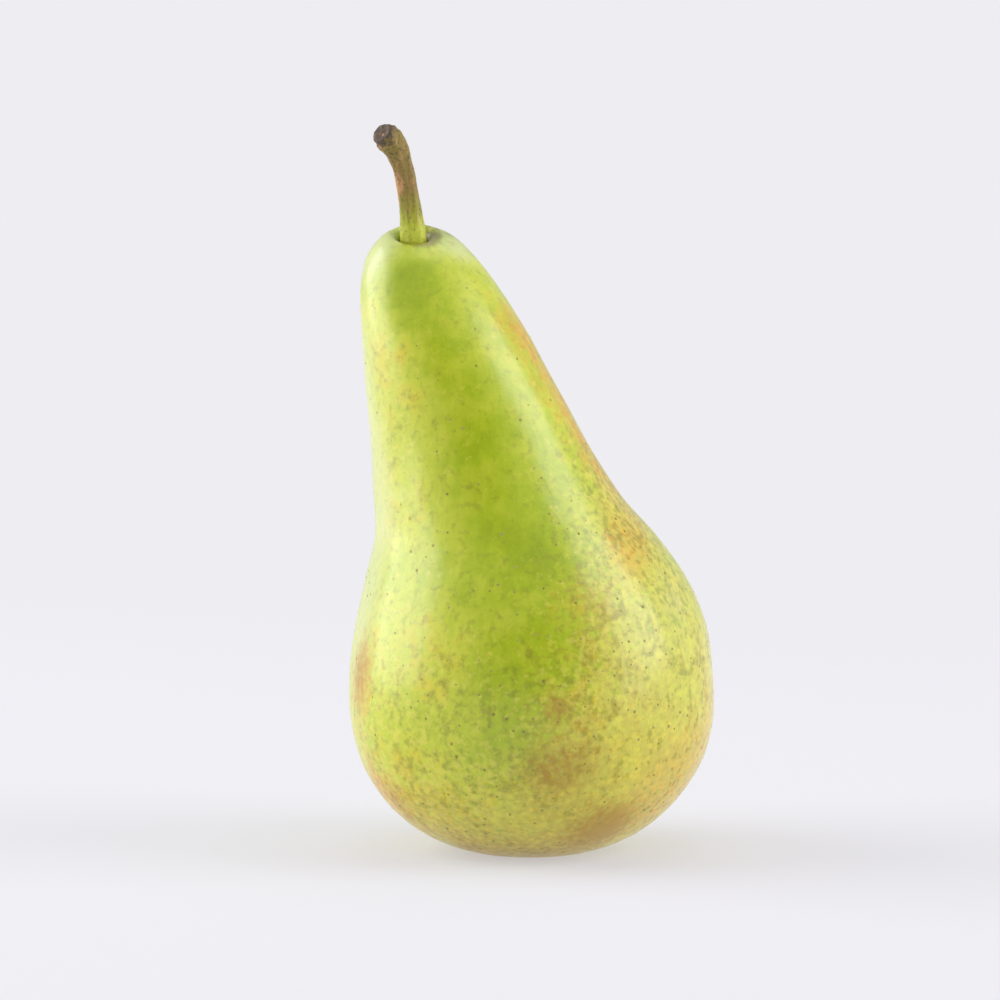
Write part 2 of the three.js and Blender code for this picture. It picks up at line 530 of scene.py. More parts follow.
@dataclass
class PearSkin(Finish):
    """Waxy skin of a green dessert pear, grown, never polished.

    To the eye it is satin: broad soft highlights over a green that turns yellow-green in the
    light, with fine streaks up the fruit, olive specks and thin patches of corky russet. A pale
    highlight down its sides and the shade in the hollow round the stalk are painted into its colour.
    """

    deep: str = "#97AD00"
    green: str = "#AEC20E"
    pale: str = "#CAD330"
    straw: str = "#DDCA26"
    gold: str = "#DC9C08"
    olive: str = "#858A1C"
    cream: str = "#E6DC58"
    russet: str = "#AE841A"
    highlight_colour: str = "#E0E8B2"
    hollow_shade: str = "#80761A"
    roughness: float = 0.38

    def build(self) -> bpy.types.Material:
        """Makes the finish.

        Returns:
            The new material.
        """
        # Each pattern is as wide as the real mark: blotches a thumb's width, specks and flecks a
        # little over a millimetre, pores under half of one.
        self.start(
            "waxy_pear_skin",
            {
                "blotches": Grain(11 * MM, 2.0),
                "streaks": Grain(1.5 * MM, 3.0, 0.6, 11.0),
                "clouds": Grain(4.5 * MM, 3.0, 0.6),
                "mottle": Grain(2.6 * MM, 3.0, 0.6),
                "specks": Grain(1.4 * MM, 3.0, 0.6),
                "flecks": Grain(1.2 * MM, 3.0, 0.5),
                "cork": Grain(1.3 * MM, 5.0, 0.7),
                "pores": Grain(0.4 * MM, 2.0),
            },
            (Mask.GREEN, Mask.GOLD, Mask.RUSSET, Mask.DOTS, Mask.PAINTED_HIGHLIGHT, Mask.HOLLOW_SHADE),
        )
        marks, casts = self.marks, self.casts
        green, dots = casts[Mask.GREEN], casts[Mask.DOTS]

        # The ground follows how ripe each place is, which is less where its mask is greener.
        colour = self.lay_ground(
            -0.3,
            (
                (green, -0.42),
                (marks["blotches"], 0.5),
                (marks["streaks"], 0.3),
                (marks["clouds"], 0.6),
                (marks["mottle"], 0.4),
            ),
            ((0.08, self.deep), (0.36, self.green), (0.64, self.pale), (0.9, self.straw)),
        )

        # A warm golden cast where the fruit faced the sun, broken up by the mottle.
        sunned = self.blend(casts[Mask.GOLD], ((marks["mottle"], 1.0), (marks["specks"], 0.5)))
        colour, _ = self.lay_over(colour, self.gold, sunned, (0.85, 1.65), 0.9)

        # Olive specks and paler flecks between them, both denser where there are more dots.
        speckled = self.blend(
            -0.15, ((marks["specks"], 1.0), (dots, 0.3), (marks["clouds"], 0.35), (green, -0.1))
        )
        colour, _ = self.lay_over(colour, self.olive, speckled, (0.54, 0.9), 0.66)
        flecked = self.blend(
            0.27, ((marks["flecks"], 1.0), (dots, 0.34), (marks["clouds"], -0.5), (green, -0.2))
        )
        colour, _ = self.lay_over(colour, self.cream, flecked, (0.61, 0.86), 0.48)

        # Painted highlight: a pale whitish cast laid where the side lights' highlights fall, mostly down the
        # left side.
        highlit = self.blend(casts[Mask.PAINTED_HIGHLIGHT], ((marks["blotches"], 0.5),))
        colour, _ = self.lay_over(colour, self.highlight_colour, highlit, (0.25, 1.2), 0.55)

        # Russet is a thin corky net: solid in the middle of a patch, broken at its edge.
        corky = self.blend(casts[Mask.RUSSET], ((marks["cork"], 1.4),))
        colour, cork_part = self.lay_over(colour, self.russet, corky, (0.85, 1.75), 0.8)

        # Painted shade: a dark olive-brown ring in the hollow round the stalk's foot, reaching furthest to
        # the front and right.
        shaded = self.blend(casts[Mask.HOLLOW_SHADE], ((marks["specks"], 0.6),))
        colour, _ = self.lay_over(colour, self.hollow_shade, shaded, (0.55, 1.2), 0.8)

        # Cork is dull, and the wax isn't quite even either.
        roughness = self.blend(self.roughness - 0.08, ((marks["mottle"], 0.16), (cork_part, 0.25)))
        return self.close(
            ((marks["pores"], 0.03 * MM), (marks["specks"], 0.06 * MM), (marks["mottle"], 0.1 * MM)),
            {
                "Base Color": colour,
                "Roughness": roughness,
                "IOR": 1.42,
                "Subsurface Weight": 0.1,
                "Subsurface Radius": (1.0, 0.8, 0.25),
                "Subsurface Scale": 2.0 * MM,
                "Coat Weight": 0.7,
                "Coat Roughness": 0.24,
                "Coat IOR": 1.5,
            },
        )


@dataclass
class LenticelCork(Finish):
    """Cork of a pear's breathing dots.

    To the eye it is dull olive-brown, a little different in each dot.
    """

    dark: str = "#8A8236"
    light: str = "#B9B25E"

    def build(self) -> bpy.types.Material:
        """Makes the finish.

        Returns:
            The new material.
        """
        self.start("lenticel_cork", {"cork": Grain(0.3 * MM, 2.0)}, (Mask.TINT,))
        cork = self.marks["cork"]
        colour = self.lay_ground(
            0.0, ((self.casts[Mask.TINT], 0.6), (cork, 0.4)), ((0.2, self.dark), (0.9, self.light))
        )
        return self.close(((cork, 0.02 * MM),), {"Base Color": colour, "Roughness": 0.6, "IOR": 1.4})


@dataclass
class StalkBark(Finish):
    """Bark of a pear's stalk: green and fleshy at the foot, olive-brown and woody above.

    To the eye it is matt and fibrous, with tan scars, a pale painted highlight down its left
    side and a dark brown torn end.
    """

    foot: str = "#C2CA3A"
    shank: str = "#95922C"
    wood: str = "#8E7636"
    upper: str = "#8E7C3C"
    knob: str = "#54443A"
    scar_and_highlight: str = "#CF9A66"

    def build(self) -> bpy.types.Material:
        """Makes the finish.

        Returns:
            The new material.
        """
        self.start(
            "pear_stalk_bark",
            {
                "fibres": Grain(0.6 * MM, 4.0, 0.65, 4.0),
                "scars": Grain(2.0 * MM, 3.0, 0.6, 1.6),
                "crumbs": Grain(0.5 * MM, 3.0, 0.6),
            },
            (Mask.ALONG, Mask.RUSSET),
        )
        marks, along = self.marks, self.casts[Mask.ALONG]
        colour = self.lay_ground(
            0.0,
            ((along, 0.8), (marks["fibres"], 0.16), (marks["crumbs"], 0.06)),
            (
                (0.3, self.foot),
                (0.42, self.shank),
                (0.54, self.wood),
                (0.86, self.upper),
                (0.91, self.knob),
            ),
        )
        # Tan scars lie where the scar pattern is strong; the russet mask adds the painted highlight down the
        # stalk's left side and the pale fleck on the end.
        scarred_and_lit = self.blend(marks["scars"], ((self.casts[Mask.RUSSET], 0.45),))
        colour, _ = self.lay_over(colour, self.scar_and_highlight, scarred_and_lit, (0.54, 0.8), 0.7)
        dark = self.blend(-0.05, ((marks["crumbs"], 1.0), (marks["fibres"], 0.5), (along, 0.14)))
        colour, _ = self.lay_over(colour, self.knob, dark, (0.82, 0.98), 0.7)
        return self.close(
            ((marks["fibres"], 0.12 * MM), (marks["crumbs"], 0.06 * MM)),
            {"Base Color": colour, "Roughness": self.blend(0.32, ((along, 0.35),)), "IOR": 1.45},
        )


@dataclass
class DryCalyx(Finish):
    """Dried, withered flower parts.

    To the eye they are papery and matt, dark brown in the folds and tan on the ridges.

    Attributes:
        name: the material's name.
        dark: the colour of the folds.
        light: the colour of the ridges.
    """

    name: str
    dark: str
    light: str

    def build(self) -> bpy.types.Material:
        """Makes the finish.

        Returns:
            The new material.
        """
        self.start(self.name, {"veins": Grain(0.5 * MM, 4.0, 0.6), "wither": Grain(1.8 * MM, 2.0)})
        veins, wither = self.marks["veins"], self.marks["wither"]
        colour = self.lay_ground(
            0.0, ((veins, 1.0), (wither, 0.6)), ((0.62, self.dark), (0.96, self.light))
        )
        return self.close(((veins, 0.08 * MM),), {"Base Color": colour, "Roughness": 0.75, "IOR": 1.4})


@dataclass
class Paper(Finish):
    """Plain pale paper, matt round the pear, that fades into the pale room further off.

    Attributes:
        pale: the colour of the room, which it fades into.
        matt: the paper's own colour.
        near: how far from the pear it starts to fade, in metres.
        far: how far off it has faded, in metres.
        least_glow: how much of it glows like the room under the pear.
    """

    pale: str
    matt: str = "#E1E0E4"
    near: float = 0.14
    far: float = 0.6
    least_glow: float = 0.5

    def build(self) -> bpy.types.Material:
        """Makes the finish.

        Returns:
            The new material.
        """
        self.start("pale_paper", {})
        tree = self.tree
        distance = add_node(tree, "ShaderNodeVectorMath", {"operation": "LENGTH"}, {0: self.place})
        share = add_node(
            tree,
            "ShaderNodeMapRange",
            {"interpolation_type": "SMOOTHSTEP"},
            {
                "Value": distance.outputs["Value"],
                "From Min": self.near,
                "From Max": self.far,
                "To Min": self.least_glow,
            },
        )
        matt = add_node(tree, "ShaderNodeBsdfDiffuse", links={"Color": linear(self.matt)})
        glow = add_node(tree, "ShaderNodeEmission", links={"Color": linear(self.pale)})
        mixed = add_node(
            tree,
            "ShaderNodeMixShader",
            links={0: share.outputs["Result"], 1: matt.outputs["BSDF"], 2: glow.outputs["Emission"]},
        )
        add_node(tree, "ShaderNodeOutputMaterial", links={"Surface": mixed.outputs["Shader"]})
        return self.material


# ---- the fruit ----


@dataclass(frozen=True)
class Patch:
    """A soft patch of colour on the skin.

    Attributes:
        turn: degrees round the fruit from the front, towards +X.
        rise: height up the fruit, as a share of its height.
        width: how far from its middle it has faded by two thirds, in millimetres.
        strength: how much it adds at its middle.
        stretch: how many times longer it is up the fruit than round it.
        run: how far up the fruit its middle is drawn out, as a share of the fruit's height.
    """

    turn: float
    rise: float
    width: float
    strength: float
    stretch: float = 1.0
    run: float = 0.0


@dataclass(frozen=True)
class Lobes:
    """Waves round the fruit over part of its height.

    Attributes:
        count: how many there are.
        depth: how far they reach out and in, as a share of the fruit's radius.
        turn: how far round they are turned, in radians.
        grows: the shares of the fruit's height between which they grow.
        fades: the shares of its height between which they fade.
    """

    count: int
    depth: float
    turn: float
    grows: tuple[float, float]
    fades: tuple[float, float]


@dataclass
class Fruit:
    """The fleshy fruit, with the hollow at its crown and the basin underneath."""

    height: float = 108 * MM
    belly_radius: float = 32 * MM
    neck_lean: float = 20 * MM
    crown_forward: float = 2.4 * MM
    crown_tip: float = 0.4
    depth_share: float = 0.97
    socket_radius: float = 2.604 * MM
    sides: int = 352
    basin_rings: int = 22
    skin_rings: int = 220
    hollow_rings: int = 20

    # The relief: slow swellings all over but the foot and the crown, and dimples everywhere.
    swelling_depth: float = 0.22 * MM
    swelling_width: float = 15 * MM
    dimple_depth: float = 0.03 * MM
    dimple_width: float = 3.5 * MM

    # The painted shade round the stalk's foot: its middle beside the socket's, its reach in socket
    # radii, and its depth beside its width.
    shade_shift: tuple[float, float, float] = (1.0 * MM, -1.1 * MM, 0.0)
    shade_reach: float = 1.7
    shade_squeeze: float = 0.85

    # The corky dots: their sizes, and how many of them there are where no patch adds any.
    dots_per_square_metre: float = 150000.0
    dot_gap: float = 1.3 * MM
    smallest_dot: float = 0.14 * MM
    largest_dot: float = 0.32 * MM
    least_dots: float = 0.14

    # How finely the patches are placed up the fruit, and drawn out where they run up it.
    track_steps: int = 400
    run_steps: int = 24

    # How far the outlines move to stand in the CAD fruit's box, found when the skin is made.
    shift: np.ndarray = field(default_factory=lambda: np.zeros(3))

    lobes: tuple[Lobes, ...] = (
        Lobes(5, 0.012, 0.7, (0, 0.04), (0.1, 0.4)),
        Lobes(3, 0.012, -1.1, (0.05, 0.3), (0.4, 0.7)),
        Lobes(2, 0.015, 1.9, (0.45, 0.65), (0.88, 0.97)),
    )

    # The outlines as level rings: radius, lean and height, as shares of the sizes above.
    basin: Rows = ((0.082, 0, 0.067), (0.086, 0, 0.046), (0.15, 0, 0.04), (0.215, 0, 0.021), (0.28, 0, 0))
    skin: Rows = (
        (0.355, 0, 0),
        (0.48, 0, 0.012),
        (0.635, 0, 0.037),
        (0.79, 0, 0.078),
        (0.925, 0, 0.14),
        (0.99, 0, 0.205),
        (1, 0, 0.28),
        (0.967, 0, 0.362),
        (0.885, 0.04, 0.438),
        (0.77, 0.13, 0.51),
        (0.672, 0.295, 0.581),
        (0.592, 0.447, 0.663),
        (0.524, 0.603, 0.754),
        (0.454, 0.75, 0.841),
        (0.375, 0.88, 0.912),
        (0.29, 0.955, 0.96),
        (0.21, 0.985, 0.986),
        (0.14, 1, 0.998),
    )

    green_patches: tuple[Patch, ...] = (
        Patch(0, 0.5, 14, 0.8, 1.7),
        Patch(-12, 0.22, 11, 0.5),
        Patch(-26, 0.33, 6, -0.4),
        Patch(52, 0.3, 7, 0.35),
        Patch(8, 0.36, 8, 0.3),
        Patch(8, 0.78, 8, 0.3, 1.8),
        Patch(-50, 0.75, 9, -0.35, 3.0),
        Patch(-8, 0.96, 5.5, 1.0, 1.2),
        Patch(-2, 0.9, 5, 0.4, 1.5),
        Patch(0, 0.0, 34, -0.5),
        Patch(60, 0.2, 22, -0.45),
        # Painted shade: deeper green on the hollow's far wall, right of the stalk.
        Patch(115, 0.998, 3, 1.5),
        Patch(180, 0.0, 30, -0.5),
        Patch(170, 0.45, 22, 0.6, 1.6),
        Patch(-140, 0.2, 19, 0.9, run=0.25),
        Patch(-150, 0.55, 12, 0.9, run=0.4),
    )
    gold_patches: tuple[Patch, ...] = (
        Patch(51, 0.505, 5, 1.1, 1.3),
        Patch(74, 0.54, 6.5, 0.62, run=0.32),
        Patch(60, 0.12, 8, 1.7),
        Patch(78, 0.22, 9, 0.6),
        Patch(38, 0.05, 9, 0.5),
        Patch(-68, 0.29, 6, 0.7, 1.5),
        Patch(-64, 0.1, 7, 0.9),
        Patch(20, 0.25, 11, 0.35),
        Patch(22, 0.42, 8, 0.35, 1.4),
        Patch(-30, 0.0, 12, 0.4),
        Patch(140, 0.2, 16, 0.45),
        Patch(-110, 0.12, 14, 0.3),
    )
    russet_patches: tuple[Patch, ...] = (
        Patch(12, 0.18, 7, 0.6),
        Patch(3, 0.155, 5, 0.35),
        Patch(8, 0.27, 3, 0.7),
        Patch(33, 0.065, 7, 0.95),
        # Partly russet round the calyx end, partly painted shade: the darker brown rim where the front of the
        # fruit meets the table.
        Patch(0, 0.0, 16, 0.6),
        Patch(-50, 0.03, 12, 0.35),
        Patch(78, 0.99, 1.6, 0.45),
        # Partly russet, partly painted shade: the hollow's far wall, behind and right of the stalk.
        Patch(130, 0.998, 2.5, 0.2),
        Patch(-70, 0.3, 5, 0.8, 1.6),
        Patch(-58, 0.1, 3, 0.5, 1.5),
        Patch(24, 0.44, 5, 0.4, 1.4),
        Patch(40, 0.28, 5, 0.35),
        Patch(82, 0.58, 4, 0.4, run=0.28),
        Patch(150, 0.1, 12, 0.45),
        Patch(-120, 0.08, 10, 0.35),
    )
    # Painted highlight: where the side lights' highlights fall, mostly down the left side and on the crown's
    # edges.
    highlight_patches: tuple[Patch, ...] = (
        Patch(-82, 0.975, 5, 1.1),
        Patch(-78, 0.78, 6, 0.6, 2.6),
        Patch(-72, 0.55, 7, 0.7, 2.6),
        Patch(-76, 0.38, 8, 0.6, 1.5),
        Patch(80, 0.985, 4, 0.9),
        Patch(60, 0.4, 6, 0.4, 1.4),
        Patch(180, 0.7, 12, 0.5, 2.0),
    )
    dot_patches: tuple[Patch, ...] = (
        # Painted shade: dense olive specks, and dots, on the hollow's far wall, right of the stalk.
        Patch(120, 0.998, 2.6, 1.6),
        Patch(40, 0.3, 26, 0.6),
        Patch(-30, 0.08, 18, 0.25),
        Patch(10, 0.08, 14, 0.25),
        Patch(60, 0.55, 12, 0.5),
        Patch(160, 0.3, 30, 0.5),
    )

    def outlines(self) -> list[Spline]:
        """Scales the outlines up to size.

        Returns:
            The basin's, the skin's and the hollow's curves of radius, lean and height.
        """
        socket = self.socket_radius / self.belly_radius
        hollow = (self.skin[-1], (0.11, 1.01, 0.9965), (socket, 1.02, 0.985), (socket, 1.02, 0.94))
        scale = np.array([self.belly_radius, -self.neck_lean, self.height])
        return [Spline(np.array(rows) * scale) for rows in (self.basin, self.skin, hollow)]

    def swell(self, angle: np.ndarray, rise: np.ndarray) -> np.ndarray:
        """How the fruit departs from a turned shape.

        Args:
            angle: radians round the fruit from +X.
            rise: height up the fruit, as a share of its height.

        Returns:
            The reach from the core line, as a share of the ring's radius.
        """
        reach = np.ones(np.broadcast(angle, rise).shape)
        for lobes in self.lobes:
            wave = lobes.depth * np.cos(lobes.count * angle + lobes.turn) * smoothstep(rise, *lobes.grows)
            reach += wave * (1 - smoothstep(rise, *lobes.fades))
        return reach

    def place(self, rings: np.ndarray, angles: np.ndarray) -> np.ndarray:
        """Finds points of the fruit.

        Args:
            rings: rows of radius, lean and height.
            angles: radians round the fruit from +X.

        Returns:
            Points by ring, by angle, by x, y and z.
        """
        radius, lean, height = (column[:, None] for column in np.asarray(rings).T)
        rise = height / self.height
        reach = radius * self.swell(angles[None, :], rise)
        x = reach * np.cos(angles)
        y = self.depth_share * reach * np.sin(angles)
        forward = self.crown_forward * smoothstep(rise, 0.3, 1)
        tip = self.crown_tip * smoothstep(rise, 0.72, 0.99)
        return np.stack([lean + x, y - forward, height + tip * y], axis=2) + self.shift

    def cover(self, patches: Sequence[Patch], points: np.ndarray) -> np.ndarray:
        """Adds up soft patches at points of the skin.

        Args:
            patches: the patches to add up.
            points: rows of x, y and z.

        Returns:
            The patches' sum at each point.
        """
        track = self.outlines()[1].spaced(self.track_steps)
        total = np.zeros(len(points))
        for patch in patches:
            angle = np.array([math.radians(patch.turn - 90)])
            nearest = np.full(len(points), np.inf)
            steps = self.run_steps if patch.run else 1
            for rise in np.linspace(patch.rise, patch.rise + patch.run, steps):
                ring = np.argmin(abs(track[:, 2] - rise * self.height))
                apart = points - self.place(track[ring : ring + 1], angle)[0, 0]
                apart[:, 2] /= patch.stretch
                nearest = np.minimum(nearest, (apart**2).sum(axis=1))
            total += patch.strength * np.exp(-nearest / (patch.width * MM) ** 2)
        return total

    def socket(self) -> np.ndarray:
        """Finds the bottom of the hollow, where the stalk stands."""
        bottom = self.outlines()[2].points[-1:] * (0, 1, 1)
        return self.place(bottom, np.zeros(1))[0, 0]

    def hollow_shade(self, points: np.ndarray) -> np.ndarray:
        """Finds how far each point lies in the painted shade round the stalk's foot.

        Args:
            points: rows of x, y and z.

        Returns:
            The share at each point, from 0 to 1.
        """
        middle = self.socket() + self.shade_shift
        apart = np.linalg.norm((points - middle) * (self.shade_squeeze, 1, 0), axis=1)
        inside = 1 - smoothstep(apart, self.socket_radius, self.shade_reach * self.socket_radius)
        return inside * (points[:, 2] > 0.9 * self.height)

    def build(self) -> bpy.types.Object:
        """Makes the fruit's skin, with its relief and its masks.

        Returns:
            The finished piece.
        """
        basin, skin, hollow = self.outlines()
        outline = [basin.spaced(self.basin_rings), skin.spaced(self.skin_rings)]
        outline.append(hollow.spaced(self.hollow_rings)[1:])
        angles = 2 * np.pi * np.arange(self.sides) / self.sides
        grid = self.place(np.vstack(outline), angles)
        cad_middle = sum(np.array(corner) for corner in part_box("fruit")) / 2
        middle = (grid.min(axis=(0, 1)) + grid.max(axis=(0, 1))) / 2
        self.shift = (cad_middle - middle) * (1, 1, 0)
        piece = new_tube("pear_skin", grid + self.shift)

        # The relief leaves the foot flat and the crown's edge as it is.
        points = vertices_of(piece)
        height = points[:, 2]
        free = smoothstep(height, 0, 8 * MM) * (1 - smoothstep(height, 0.96 * self.height, self.height))
        swelling = self.swelling_depth * bumps(points * (1, 1, 0.6), self.swelling_width)
        dimples = self.dimple_depth * bumps(points, self.dimple_width)
        push_out(piece, free * swelling + dimples)

        clear_of_table = smoothstep(height, 0.3 * MM, 1.5 * MM)
        dots = self.least_dots + self.cover(self.dot_patches, points)
        store(piece, Mask.DOTS, clear_of_table * dots)
        store(piece, Mask.GREEN, self.cover(self.green_patches, points))
        store(piece, Mask.GOLD, self.cover(self.gold_patches, points))
        store(piece, Mask.RUSSET, self.cover(self.russet_patches, points))
        store(piece, Mask.PAINTED_HIGHLIGHT, self.cover(self.highlight_patches, points))
        store(piece, Mask.HOLLOW_SHADE, self.hollow_shade(points))
        piece.data.materials.append(PearSkin().build())
        return piece

    def build_lenticels(self, skin: bpy.types.Object) -> bpy.types.Object:
        """Grows the corky breathing dots that sit in the skin.

        Args:
            skin: the finished skin.

        Returns:
            The dots, as one piece.
        """
        scatter = Scatter("lenticels")
        tree = scatter.tree
        density = scatter.ask("Dots per square metre", "NodeSocketFloat", self.dots_per_square_metre)
        least = scatter.ask("Least gap", "NodeSocketFloat", self.dot_gap)
        small = scatter.ask("Smallest dot", "NodeSocketFloat", self.smallest_dot)
        large = scatter.ask("Largest dot", "NodeSocketFloat", self.largest_dot)
        finish = scatter.ask("Finish", "NodeSocketMaterial", LenticelCork().build())
        cover = add_node(tree, "GeometryNodeInputNamedAttribute", links={"Name": Mask.DOTS.value})
        places = add_node(
            tree,
            "GeometryNodeDistributePointsOnFaces",
            {"distribute_method": "POISSON"},
            {
                "Mesh": scatter.inputs.outputs["Geometry"],
                "Distance Min": least,
                "Density Max": density,
                "Density Factor": cover.outputs["Attribute"],
                "Seed": 11,
            },
        )
        dot = add_node(tree, "GeometryNodeMeshUVSphere", links={"Segments": 8, "Rings": 5, "Radius": 1.0})
        flat = add_node(
            tree,
            "GeometryNodeTransform",
            links={"Geometry": dot.outputs["Mesh"], "Scale": (1.0, 1.0, 0.16)},
        )
        size = add_node(
            tree, "FunctionNodeRandomValue", links={RANDOM_LOW: small, RANDOM_HIGH: large, "Seed": 3}
        )
        placed = add_node(
            tree,
            "GeometryNodeInstanceOnPoints",
            links={
                "Points": places.outputs["Points"],
                "Instance": flat.outputs["Geometry"],
                "Rotation": places.outputs["Rotation"],
                "Scale": size.outputs[RANDOM_RESULT],
            },
        )
        tint = add_node(tree, "FunctionNodeRandomValue", links={"Seed": 5}).outputs[RANDOM_RESULT]
        tinted = add_node(
            tree,
            "GeometryNodeStoreNamedAttribute",
            {"data_type": "FLOAT", "domain": "INSTANCE"},
            {"Geometry": placed.outputs["Instances"], "Name": Mask.TINT.value, "Value": tint},
        )
        scatter.close(tinted.outputs["Geometry"], finish)
        return scatter.grow(skin.data)


# ---- the stalk ----


@dataclass
class Stalk:
    """The woody stalk, from its fleshy foot in the hollow to the knob at its end."""

    radius: float = 1.8 * MM
    foot_swell: float = 0.28
    knob_swell: float = 0.3
    rim_rounding: float = 0.22
    sides: int = 72
    rings: int = 190

    # The relief of the bark: how deep and how wide the crumbs and the grooves are.
    crumb_depth: float = 0.05 * MM
    knob_crumb_depth: float = 0.21 * MM
    crumb_width: float = 1.4 * MM
    groove_depth: float = 0.06 * MM
    groove_width: float = 0.9 * MM

    # The painted highlight down the stalk's left side: how far up the stalk its middle is, and how
    # long it is, as shares of the length.
    highlight_place: float = 0.56
    highlight_length: float = 0.13
    fleck_width: float = 0.4 * MM

    # The line from the bottom of the hollow, in millimetres.
    line: Rows = (
        (0.1, 0, 0.9),
        (0, 0, 6),
        (-0.5, 0, 11),
        (-1.1, 0, 15),
        (-1.9, -0.3, 18.6),
        (-3.2, -1.3, 21.9),
        (-5.1, -3.1, 23.8),
    )

    # The end face, as rings: share of the rim's radius, and lift along the stalk in millimetres.
    end: Rows = (
        (0.96, 0.12),
        (0.88, 0.24),
        (0.76, 0.3),
        (0.6, 0.26),
        (0.44, 0.16),
        (0.28, 0.2),
        (0.13, 0.28),
    )

    def build(self, socket: np.ndarray) -> bpy.types.Object:
        """Makes the stalk.

        Args:
            socket: the bottom of the hollow that it stands in.

        Returns:
            The finished piece.
        """
        centres = Spline(np.array(self.line) * MM + socket).spaced(self.rings)
        along = np.gradient(centres, axis=0)
        along /= np.linalg.norm(along, axis=1)[:, None]
        side = np.cross(np.tile([0.0, 1.0, 0.0], (len(along), 1)), along)
        side /= np.linalg.norm(side, axis=1)[:, None]
        back = np.cross(along, side)
        share = np.linspace(0, 1, self.rings + 1)[:, None]
        angle = (2 * np.pi * np.arange(self.sides) / self.sides)[None, :]
        foot = self.foot_swell * (1 - smoothstep(share, 0.14, 0.5))
        knob = self.knob_swell * smoothstep(share, 0.68, 0.93)
        knob -= self.rim_rounding * smoothstep(share, 0.95, 1)
        ridges = 0.045 * np.cos(3 * angle + 0.6 + 1.2 * share) + 0.03 * np.cos(7 * angle - 2 * share)
        reach = self.radius * (1 + foot + knob + ridges)
        out = np.cos(angle)[..., None] * side[:, None] + np.sin(angle)[..., None] * back[:, None]
        rows = centres[:, None] + out * reach[..., None]
        rim, tip, heading = rows[-1], centres[-1], along[-1]
        cap = [tip + (rim - tip) * shrink + heading * lift * MM for shrink, lift in self.end]
        piece = new_tube("stalk_bark", np.concatenate([rows, np.array(cap)]))

        points = vertices_of(piece)
        age = np.concatenate([share.ravel(), np.ones(len(self.end))])
        age = np.append(np.repeat(age, self.sides), [0.0, 1.0])
        deeper = self.knob_crumb_depth - self.crumb_depth
        crumbs = self.crumb_depth + deeper * smoothstep(age, 0.7, 0.95)
        grooves = self.groove_depth * bumps(points * (1, 1, 0.15), self.groove_width)
        push_out(piece, crumbs * bumps(points, self.crumb_width, 3) + grooves)
        store(piece, Mask.ALONG, age)

        # Painted highlight: a broad pale tan band down the stalk's -X side, which faces the left light, and a
        # pale fleck on the end.
        scar_and_highlight = np.exp(-(((share - self.highlight_place) / self.highlight_length) ** 2))
        scar_and_highlight = scar_and_highlight * np.clip(-out[..., 0], 0, 1)
        clear = np.zeros(len(self.end) * self.sides + 2)
        near = np.array([0.1, -1.0, -0.2])
        near -= near @ heading * heading
        fleck = tip + 0.5 * self.radius * near / np.linalg.norm(near)
        pale = np.exp(-(((points - fleck) ** 2).sum(axis=1) / self.fleck_width**2))
        store(piece, Mask.RUSSET, np.concatenate([scar_and_highlight.ravel(), clear]) + pale)
        piece.data.materials.append(StalkBark().build())
        return piece


# ---- the calyx ----


